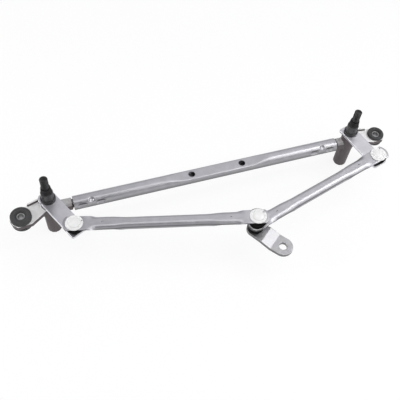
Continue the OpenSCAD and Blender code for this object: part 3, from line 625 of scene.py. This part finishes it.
# %% Sockets
PAD_TOP, SHEET, CAP_R, CAP_H, SOCKET_R, MOUTH = 3.9, 2.0, 12.75, 4.0, 10.0, -4.0
CAP_TOP = PAD_TOP + CAP_H
BRIM = PAD_TOP + 1.5
HOLLOW, HOLLOW_R, MOUTH_R = 1.0, 4.9, 5.6
DOME_R, GROOVE_W, GROOVE_D = 9.0, 0.7, 0.35
DOME_EDGE, DOME_FOOT, DOME_SWELL = DOME_R - 0.4, BRIM + 0.3, 0.8
NOTCH_AT, NOTCH_R = 11.0, 1.25
SOCKET_SHARP = 32
dome = [(DOME_EDGE, BRIM + 0.1)]
dome += [
    (r, DOME_FOOT + (CAP_TOP - DOME_FOOT) * (1 - (r / DOME_EDGE) ** 2) ** DOME_SWELL)
    for r in (8.3, 7.8, 7.0, 6.0, 4.8, 3.4, 1.8, 0)
]
capped = rounded([
    (0, MOUTH + HOLLOW), (HOLLOW_R, MOUTH + HOLLOW), (MOUTH_R, MOUTH), (SOCKET_R, MOUTH, 0.8),
    (SOCKET_R, PAD_TOP), (CAP_R, PAD_TOP, 0.3), (CAP_R, BRIM, 0.7), (DOME_R + GROOVE_W, BRIM, 0.3),
    (DOME_R, BRIM - GROOVE_D, 0.3)
] + dome)
for node, at, degrees in (
    ("left_rod_outer_socket", left_rod_place, 3), ("left_rod_inner_socket", left_rod_end, 23),
    ("right_rod_outer_socket", right_rod_place, 55)
):
    made = as_piece(lathe(capped), node, at, SOCKET_SHARP)
    out = turn(degrees, "Z") @ Vector((NOTCH_AT * MM, 0, 0))
    up = at.to_3x3() @ Vector((0, 0, 1))
    drilled(made, [(at.translation + out, up, NOTCH_R * MM)], SOCKET_SHARP)
    tell(made)

# %% Boots
PAD_LOW = PAD_TOP - SHEET
BAND_H, FOOT_H, BOOT_WALL, GRIP_GAP = 2.2, 1.0, 1.4, 0.3
FOLD_IN, FOLD_ABOVE, FOLD_OUT, FOLD_BELOW = 0.9, 0.9, 0.5, 0.4
SOFT_SHARP = 50


def boot(node, place, top_r, taper, foot_z, mouth_r, body_low, folds):
    """A boot with a top band and folds down to its foot."""
    foot_r = top_r - taper
    band = PAD_LOW - BAND_H
    outline = [(SOCKET_R, PAD_LOW), (top_r, PAD_LOW, 0.7), (top_r, band, 0.6)]
    for k in range(folds):
        share = (k + 1) / (folds + 1)
        z = band + (foot_z + FOOT_H - band) * share
        r = top_r + (foot_r - top_r) * share
        outline += [(r - FOLD_IN, z + FOLD_ABOVE, 0.5), (r + FOLD_OUT, z - FOLD_BELOW, 0.6)]
    outline += [(foot_r, foot_z, 0.6), (mouth_r, foot_z, 0.3), (mouth_r, foot_z + BOOT_WALL)]
    outline.append((SOCKET_R, body_low - GRIP_GAP))
    return as_piece(lathe(rounded(outline, closed=True), closed=True), node, place, SOFT_SHARP, boot_rubber)


LOW_END = -7.1
TALL_END = PAD_TOP + 2.7 - DOUBLE_PITCH
RING_LOW = -5.1
for made in (
    boot("left_rod_outer_boot", left_rod_place, 14.0, 2.5, LOW_END, 7.7, MOUTH, 1),
    boot("right_rod_outer_boot", right_rod_place, 14.0, 2.5, LOW_END, 7.7, MOUTH, 1),
    boot("left_rod_inner_boot", left_rod_end, 15.5, 4.2, TALL_END, 4.7, MOUTH, 2),
    boot("right_rod_inner_boot", right_rod_end, 13.0, 2.5, LOW_END, 9.5, RING_LOW, 1),
):
    tell(made)

# %% [markdown]
# ## Rubber mounts
# A grommet snaps into the ear of its housing, and a steel sleeve through it takes the body bolt without
# crushing the rubber. The solids could be kept and only coloured, but their edges are hard. Both are spun
# again with soft edges: the rubber stands above the sleeve and is dished towards it.

# %% Grommets and sleeves
EAR_DROP, EAR_T, DOWN, WAIST_R, SLEEVE_R, BORE_R, RECESS = 14.0, 8.0, 5.0, 9.0, 6.0, 4.5, 3.0
EAR_LOW = -EAR_DROP - EAR_T
DISH_W, FOOT_W, FOOT_T = 2.6, 3.0, 1.2


def rubber_mount(side, at, radius, up):
    top, low = up - EAR_DROP, EAR_LOW - DOWN
    outline = rounded([
        (SLEEVE_R, low), (radius, low, 1.5), (radius, EAR_LOW, 0.4), (WAIST_R, EAR_LOW),
        (WAIST_R, -EAR_DROP), (radius, -EAR_DROP, 0.4), (radius, top, 2.2),
        (SLEEVE_R + DISH_W, top, 1.2), (SLEEVE_R, top - RECESS)
    ], closed=True)
    place = Matrix.Translation(at)
    ring = as_piece(lathe(outline, closed=True), side + "_grommet", place, SOFT_SHARP)
    tube = rounded([
        (BORE_R, low - FOOT_T, 0.2), (SLEEVE_R + FOOT_W, low - FOOT_T, 0.4), (SLEEVE_R + FOOT_W, low, 0.3),
        (SLEEVE_R, low), (SLEEVE_R, top - RECESS, 0.35), (BORE_R, top - RECESS, 0.5)
    ], closed=True)
    turned = lathe(tube, closed=True, steps=64)
    return ring, as_piece(turned, side + "_sleeve", place, SOFT_SHARP, sleeve_zinc)


for side, axis, dx, dy, radius, up in (
    ("left", LEFT_AXIS, -43.5, -13.0, 15.5, 8.0), ("right", RIGHT_AXIS, 48.0, -6.0, 13.75, 5.0)
):
    for made in rubber_mount(side, axis + Vector((dx, dy, 0)) * MM, radius, up):
        tell(made)

# %% [markdown]
# ## Pressed rods
# A rod starts as a flat strip with a round eye at each end. The press folds its long sides down, a little
# at first and fully along the middle, where the flanges are deepest and end in a turned-out lip. A bevel on
# the solid could round the folds, but it can't let them fade out towards the eyes. So the mesh is built
# in the press's order: each station along the rod holds the strip's half width as flat, bend, flange and
# lip, and mainly the angles of the two bends change from station to station.

# %% Rod section
HALF_FLAT, BEND_LEN, FLANGE, LIP, LIP_BEND_LEN = 2.3, 8.8, 0.3, 1.6, 0.5
FLAT_STEPS, BEND_STEPS, FLANGE_STEPS, LIP_BEND_STEPS, LIP_STEPS = 4, 12, 3, 4, 2
FULL_FOLD, LIP_ANGLE = math.radians(76), math.radians(24)
END_EXTRA, EXTRA_FROM, EXTRA_GONE = 1.6, 50.0, 76.0
FOLD_FROM, FOLDED, LIP_FROM, LIP_FULL = 17.0, 35.0, 52.0, 68.0
LEAST = 0.1


def section(near):
    """Points (y, z) from the middle of the rod outwards, near millimetres from the closer ball."""
    share = smooth(FOLD_FROM, FOLDED, near)
    fold = share * FULL_FOLD
    deep = smooth(LIP_FROM, LIP_FULL, near)
    flare = LIP_ANGLE * deep
    flat = HALF_FLAT + END_EXTRA * (1 - smooth(EXTRA_FROM, EXTRA_GONE, near)) * share
    lip_bend = (LEAST + LIP_BEND_LEN * deep) / LIP_BEND_STEPS
    steps = [(flat / FLAT_STEPS, 0)] * FLAT_STEPS
    steps += [(BEND_LEN / BEND_STEPS, fold * (k + 0.5) / BEND_STEPS) for k in range(BEND_STEPS)]
    steps += [((LEAST + FLANGE * share) / FLANGE_STEPS, fold)] * FLANGE_STEPS
    steps += [(lip_bend, fold - flare * (k + 0.5) / LIP_BEND_STEPS) for k in range(LIP_BEND_STEPS)]
    steps += [((LEAST + LIP * deep) / LIP_STEPS, fold - flare)] * LIP_STEPS
    y, z = 0.0, 0.0
    points = [(y, z)]
    for length, angle in steps:
        y += length * math.cos(angle)
        z -= length * math.sin(angle)
        points.append((y, z))
    return points


print("channel:", [round(c, 1) for c in section(left_rod_len / 2)[-1]], "mm from its middle to its lip")

# %% Rod sheet
PAD_EDGE, STRIP_FROM, PAD_SIDE = 17.0, 15.0, 6.0
NECK_STEPS, SIDE_STEPS, ROUND_STEPS = 4, 6, 18
STATION = 1.5
REAR_SHIFT = 1.2


def eye(bm, x0, side, line, reach, half):
    """Close the strip's end to a pad with straight sides and a round end, and pull its rim to the hole."""
    strip = line[-1].co.y / MM
    start = math.pi - math.asin(half / reach)
    rim = [(STRIP_FROM, strip)]
    for k in range(1, NECK_STEPS + 1):
        x = STRIP_FROM + (PAD_SIDE - STRIP_FROM) * k / NECK_STEPS
        rim.append((x, strip + (half - strip) * smooth(0, NECK_STEPS, k)))
    corner = reach * math.cos(start)
    rim += [(PAD_SIDE + (corner - PAD_SIDE) * k / SIDE_STEPS, half) for k in range(1, SIDE_STEPS)]
    turns = [start + (math.pi - start) * k / ROUND_STEPS for k in range(ROUND_STEPS + 1)]
    rim += [(reach * math.cos(a), reach * math.sin(a)) for a in turns]
    rim += [(x, -y) for x, y in reversed(rim[:-1])]
    outer = line + [bm.verts.new(((x0 + side * x) * MM, y * MM, 0)) for x, y in rim]
    loop = []
    for a, b in zip(outer, outer[1:] + outer[:1]):
        loop.append(bm.edges.get((a, b)) or bm.edges.new((a, b)))
    pulled = bmesh.ops.extrude_edge_only(bm, edges=loop)["geom"]
    for v in pulled:
        if isinstance(v, bmesh.types.BMVert):
            spoke = Vector((v.co.x - x0 * MM, v.co.y)).normalized() * SOCKET_R * MM
            v.co = (x0 * MM + spoke.x, spoke.y, 0)


def rod_sheet(length, pads, rear):
    """The rod's upper skin as one open mesh, top at zero, with a socket hole in each eye."""
    bm = bmesh.new()
    count = int((length - 2 * PAD_EDGE) / STATION)
    across = len(section(0)) - 1
    bmesh.ops.create_grid(bm, x_segments=count, y_segments=2 * across, size=1.0)
    ends = ([], [])
    for v in bm.verts:
        station = round((v.co.x + 1) / 2 * count)
        place = round(v.co.y * across)
        x = PAD_EDGE + (length - 2 * PAD_EDGE) * station / count
        near = min(x, length - x)
        y, z = section(near)[abs(place)]
        behind = rear * REAR_SHIFT * smooth(FOLD_FROM, FOLDED, near)
        v.co = Vector((x, math.copysign(y, place) + behind, z)) * MM
        if station in (0, count):
            ends[station // count].append(v)
    for x0, side, line, pad in ((0, 1, ends[0], pads[0]), (length, -1, ends[1], pads[1])):
        eye(bm, x0, side, sorted(line, key=lambda v: v.co.y), *pad)
    bmesh.ops.recalc_face_normals(bm, faces=bm.faces)
    if sum(f.normal.z for f in bm.faces) < 0:
        bmesh.ops.reverse_faces(bm, faces=bm.faces)
    return bm


print("stations along the left rod:", int((left_rod_len - 2 * PAD_EDGE) / STATION))

# %% Rods
PAD = (16.5, 11.6)
UNDER_PAD = (12.5, 12.5)
PILOT_AT, PILOT_R, PILOT_RIM = 40.0, 0.9, 1.05
EDGE_R, EDGE_ANGLE, PRESSED_SHARP = 0.35, 50, 40
ROD_SHADE_SLOPES = (0.1, 0.8)
UNDER_FROM, UNDER_FULL = -0.95, -0.45


def painted_side_shade(slope, low, high):
    """Painted shade: one on upright faces, falling to none on level ones, whether they face up or down."""
    return (1 - smooth(low, high, slope)) * smooth(UNDER_FROM, UNDER_FULL, slope)


def mark_shade(piece, shade_at):
    """Keep a painted shade on each point of a piece, for its finish to read."""
    layer = piece.data.attributes.new("shade", "FLOAT", "POINT")
    for mark, vertex in zip(layer.data, piece.data.vertices):
        mark.value = shade_at(vertex)


def rod(node, place, length, pads, rear):
    bm = rod_sheet(length, pads, rear)
    piece = as_piece(bm, node, place @ Matrix.Translation((0, 0, PAD_TOP * MM)), PRESSED_SHARP)
    skin = piece.modifiers.new("sheet", "SOLIDIFY")
    skin.thickness = SHEET * MM
    skin.offset = -1
    skin.use_even_offset = True
    edge = piece.modifiers.new("edge", "BEVEL")
    edge.width = EDGE_R * MM
    edge.segments = 2
    edge.limit_method = "ANGLE"
    edge.angle_limit = math.radians(EDGE_ANGLE)
    baked(piece)
    up = place.to_3x3() @ Vector((0, 0, 1))
    spots = [place @ (Vector((x, rear * REAR_SHIFT, PAD_TOP)) * MM) for x in (PILOT_AT, length - PILOT_AT)]
    drilled(piece, [(spot, up, PILOT_R * MM) for spot in spots], PRESSED_SHARP)

    # Painted shade: full in the pilot holes, and on the sheet's upright faces.
    def shade_at(vertex):
        if min((vertex.co - spot).length for spot in spots) < PILOT_R * MM * PILOT_RIM:
            return 1.0
        return painted_side_shade(vertex.normal.z, *ROD_SHADE_SLOPES)

    mark_shade(piece, shade_at)
    return piece


tell(rod("left_rod", left_rod_place, left_rod_len, (PAD, PAD), 1))
tell(rod("right_rod", right_rod_place, right_rod_len, (PAD, UNDER_PAD), -1))

# %% [markdown]
# ## Cross tube
# The tube is drawn steel. A press flattens its crown for the motor, leaving rounded shoulders, and a
# crimping tool drives round and long dents through the wall into grooves of the spigots. Dents could be
# cut with a boolean, which would leave sharp rims. Both are soft changes of the tube's radius instead: a
# straight tube is spun with close rows, its points move to the pressed shape, and then the wall gets its
# thickness.

# %% Tube shape
TUBE_R, WALL, FLAT_DROP, FLAT_HALF, FLAT_RUN = 11.0, 1.5, 4.5, 56.0, 30.0
FLAT_EARLY, FLAT_LATE, SHOULDER = 3.0, 6.0, 1.4
CRIMP_DEPTH, CRIMP_MID, CRIMP_PITCH, CRIMP_ANGLE, CRIMP_SOFT = 2.5, 27.0, 14.0, 55.0, 0.25
BALL_TOOL_R, BAR_TOOL_R, BAR_HALF, BAR_LIFT = 5.0, 4.4, 4.0, 18.0
AXIS_Z = FLAT_DROP - TUBE_R
tube_low, tube_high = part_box("frame_tube")
TUBE_X = (tube_low[0] / MM, tube_high[0] / MM)


def pressed_in(tool_r, away):
    """Depth that a round-nosed tool leaves at a distance from its middle, with a soft edge."""
    if away >= tool_r:
        return 0.0
    sunk = max(math.sqrt(tool_r ** 2 - away ** 2) - tool_r + CRIMP_DEPTH, 0.0)
    return sunk ** 2 / (sunk + CRIMP_SOFT)


def dent(x, angle, end_x, way):
    """How far the crimps of one tube end push the wall in at a point."""
    along = (x - end_x) * way
    ball = math.radians(180 - CRIMP_ANGLE)
    push = pressed_in(BALL_TOOL_R, math.hypot(along - CRIMP_MID, TUBE_R * (angle - ball)))
    lift = math.radians(BAR_LIFT)
    for middle in (lift, math.pi - lift):
        for step in (-1, 1):
            from_bar = max(abs(along - CRIMP_MID - step * CRIMP_PITCH) - BAR_HALF, 0)
            turned = TUBE_R * math.remainder(angle - middle, math.tau)
            push = max(push, pressed_in(BAR_TOOL_R, math.hypot(from_bar, turned)))
    return push


def tube_point(x, angle):
    """A point of the tube's skin; the angle starts at the rear and passes over the crown."""
    radius = TUBE_R - dent(x, angle, TUBE_X[0], 1) - dent(x, angle, TUBE_X[1], -1)
    y, z = radius * math.cos(angle), AXIS_Z + radius * math.sin(angle)
    top = FLAT_DROP * smooth(FLAT_HALF - FLAT_EARLY, FLAT_HALF + FLAT_RUN + FLAT_LATE, abs(x))
    if z > top - SHOULDER:
        z = top - SHOULDER * math.exp(-(z - top + SHOULDER) / SHOULDER)
    return x * MM, y * MM, z * MM


print("tube from", round(TUBE_X[0], 1), "to", round(TUBE_X[1], 1), "mm, dents",
      round(pressed_in(BALL_TOOL_R, 0), 2), "mm deep")

# %% Cross tube
CRIMP_ZONE, END_ROWS, MIDDLE_ROWS, AROUND = 52.0, 80, 120, 112
MOTOR_HOLE_X, MOTOR_HOLE_R = 42.5, 5.5
TUBE_SHADE_SLOPES = (-0.6, 0.8)


def frame_tube():
    near = [CRIMP_ZONE * k / END_ROWS for k in range(END_ROWS)]
    low, high = TUBE_X[0] + CRIMP_ZONE, TUBE_X[1] - CRIMP_ZONE
    places = [TUBE_X[0] + x for x in near]
    places += [low + (high - low) * k / MIDDLE_ROWS for k in range(MIDDLE_ROWS + 1)]
    places += [TUBE_X[1] - x for x in reversed(near)]
    bm = lathe([(TUBE_R, x) for x in places], steps=AROUND)
    for v in bm.verts:
        v.co = tube_point(v.co.z / MM, math.atan2(v.co.y, v.co.x))
    bmesh.ops.recalc_face_normals(bm, faces=bm.faces)
    piece = as_piece(bm, "frame_tube", sharp=PRESSED_SHARP)
    wall = piece.modifiers.new("wall", "SOLIDIFY")
    wall.thickness = WALL * MM
    wall.offset = -1
    baked(piece)
    holes = [((x * MM, 0, 0), (0, 0, 1), MOTOR_HOLE_R * MM) for x in (-MOTOR_HOLE_X, MOTOR_HOLE_X)]
    drilled(piece, holes, PRESSED_SHARP)
    # The tube's upright sides get painted shade, which fades again on its underside.
    mark_shade(piece, lambda vertex: painted_side_shade(vertex.normal.z, *TUBE_SHADE_SLOPES))
    return piece


tell(frame_tube())

# %% [markdown]
# ## Levers and crank
# These are cut from thick plate, and the crank is then bent. They could be drawn again, but their solids
# already have the right shape, so a copy of each is cleaned of its triangles and every hard edge gets the
# small radius that a blanking press leaves. The radius is what makes a plate look like metal and not like
# card. On the crank it also softens the lines of the bends, so edges of a smaller angle are taken there.

# %% Levers and crank
FUSE, COPLANAR = 0.001, 1
PLATE_SHARP, EDGE_STEPS = 60, 3
CRANK_SHADE_SLOPES = (-0.3, 0.6)


def edged(node, width, angle, finish):
    bm = bmesh.new()
    bm.from_mesh(nodes[node].data)
    bmesh.ops.remove_doubles(bm, verts=bm.verts, dist=FUSE * MM)
    bmesh.ops.dissolve_limit(bm, angle_limit=math.radians(COPLANAR), verts=bm.verts, edges=bm.edges)
    hard = [e for e in bm.edges if e.is_manifold and e.calc_face_angle() > math.radians(angle)]
    bmesh.ops.bevel(bm, geom=hard, offset=width * MM, offset_type="OFFSET", segments=EDGE_STEPS,
                    profile=0.5, affect="EDGES", clamp_overlap=True, material=-1)
    bmesh.ops.dissolve_degenerate(bm, dist=SLIVER * MM, edges=bm.edges)
    bmesh.ops.triangulate(bm, faces=[f for f in bm.faces if len(f.verts) > 4])
    piece = as_piece(bm, node, None, PLATE_SHARP, finish)
    even = piece.modifiers.new("even", "WEIGHTED_NORMAL")
    even.keep_sharp = True
    baked(piece)
    return piece


tell(edged("left_lever", 0.45, 25, lever_zinc))
tell(edged("right_lever", 0.45, 25, lever_zinc))
crank = edged("motor_crank", 0.6, 10, crank_zinc)
# The crank's upright sides get painted shade.
mark_shade(crank, lambda vertex: painted_side_shade(vertex.normal.z, *CRANK_SHADE_SLOPES))
tell(crank)

# %% [markdown]
# ## Pivot housings
# A die casting has no sharp inner corner: metal flows round fillets, and the mould's parting leaves soft
# edges. A bevel breaks down where barrel, neck and ear run into each other. Rebuilding the solid from small
# cells and relaxing it rounds every corner instead. The ear tops keep the pale colour of the alloy, and the
# sides, barrels and necks are darkened as painted shade, which each point keeps as an attribute for the
# finish.

# %% Housings
CELL = 0.8
RELAX_SHARE, RELAX_TIMES = 0.5, 4
NECK_FROM, NECK_FULL, NECK_SHADE = 8, 14, 0.5
UNSHADED_FROM, UNSHADED_FULL = 0.45, 0.9


def casting(node, axis):
    bm = bmesh.new()
    bm.from_mesh(nodes[node].data)
    bmesh.ops.remove_doubles(bm, verts=bm.verts, dist=FUSE * MM)
    piece = as_piece(bm, node, sharp=180)
    cells = piece.modifiers.new("cells", "REMESH")
    cells.mode = "VOXEL"
    cells.voxel_size = CELL * MM
    relax = piece.modifiers.new("relax", "SMOOTH")
    relax.factor = RELAX_SHARE
    relax.iterations = RELAX_TIMES
    baked(piece)
    piece.data.shade_smooth()
    inwards = math.copysign(1, -axis.x)

    # Painted shade: on all but level tops, and in part on the tops of the neck.
    def shade_at(vertex):
        on_neck = smooth(NECK_FROM, NECK_FULL, (vertex.co.x - axis.x) * inwards / MM)
        return 1 - smooth(UNSHADED_FROM, UNSHADED_FULL, vertex.normal.z) * (1 - NECK_SHADE * on_neck)

    mark_shade(piece, shade_at)
    return piece


for node, axis in (("left_housing", LEFT_AXIS), ("right_housing", RIGHT_AXIS)):
    tell(casting(node, axis))

# %% [markdown]
# ## Sizes
# Finer meshes can creep past the solids they stand for. The box of the solids was kept at the start, and it
# is kept here beside the box of the finished pieces, so that the two can be compared.

# %% Sizes, kept for comparison
visual_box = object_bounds()
boxes = {
    "cad": [list(map(float, c)) for c in cad_box],
    "visual": [list(map(float, c)) for c in visual_box],
}
print("visual box:", [[round(c / MM, 1) for c in corner] for corner in boxes["visual"]], "mm")
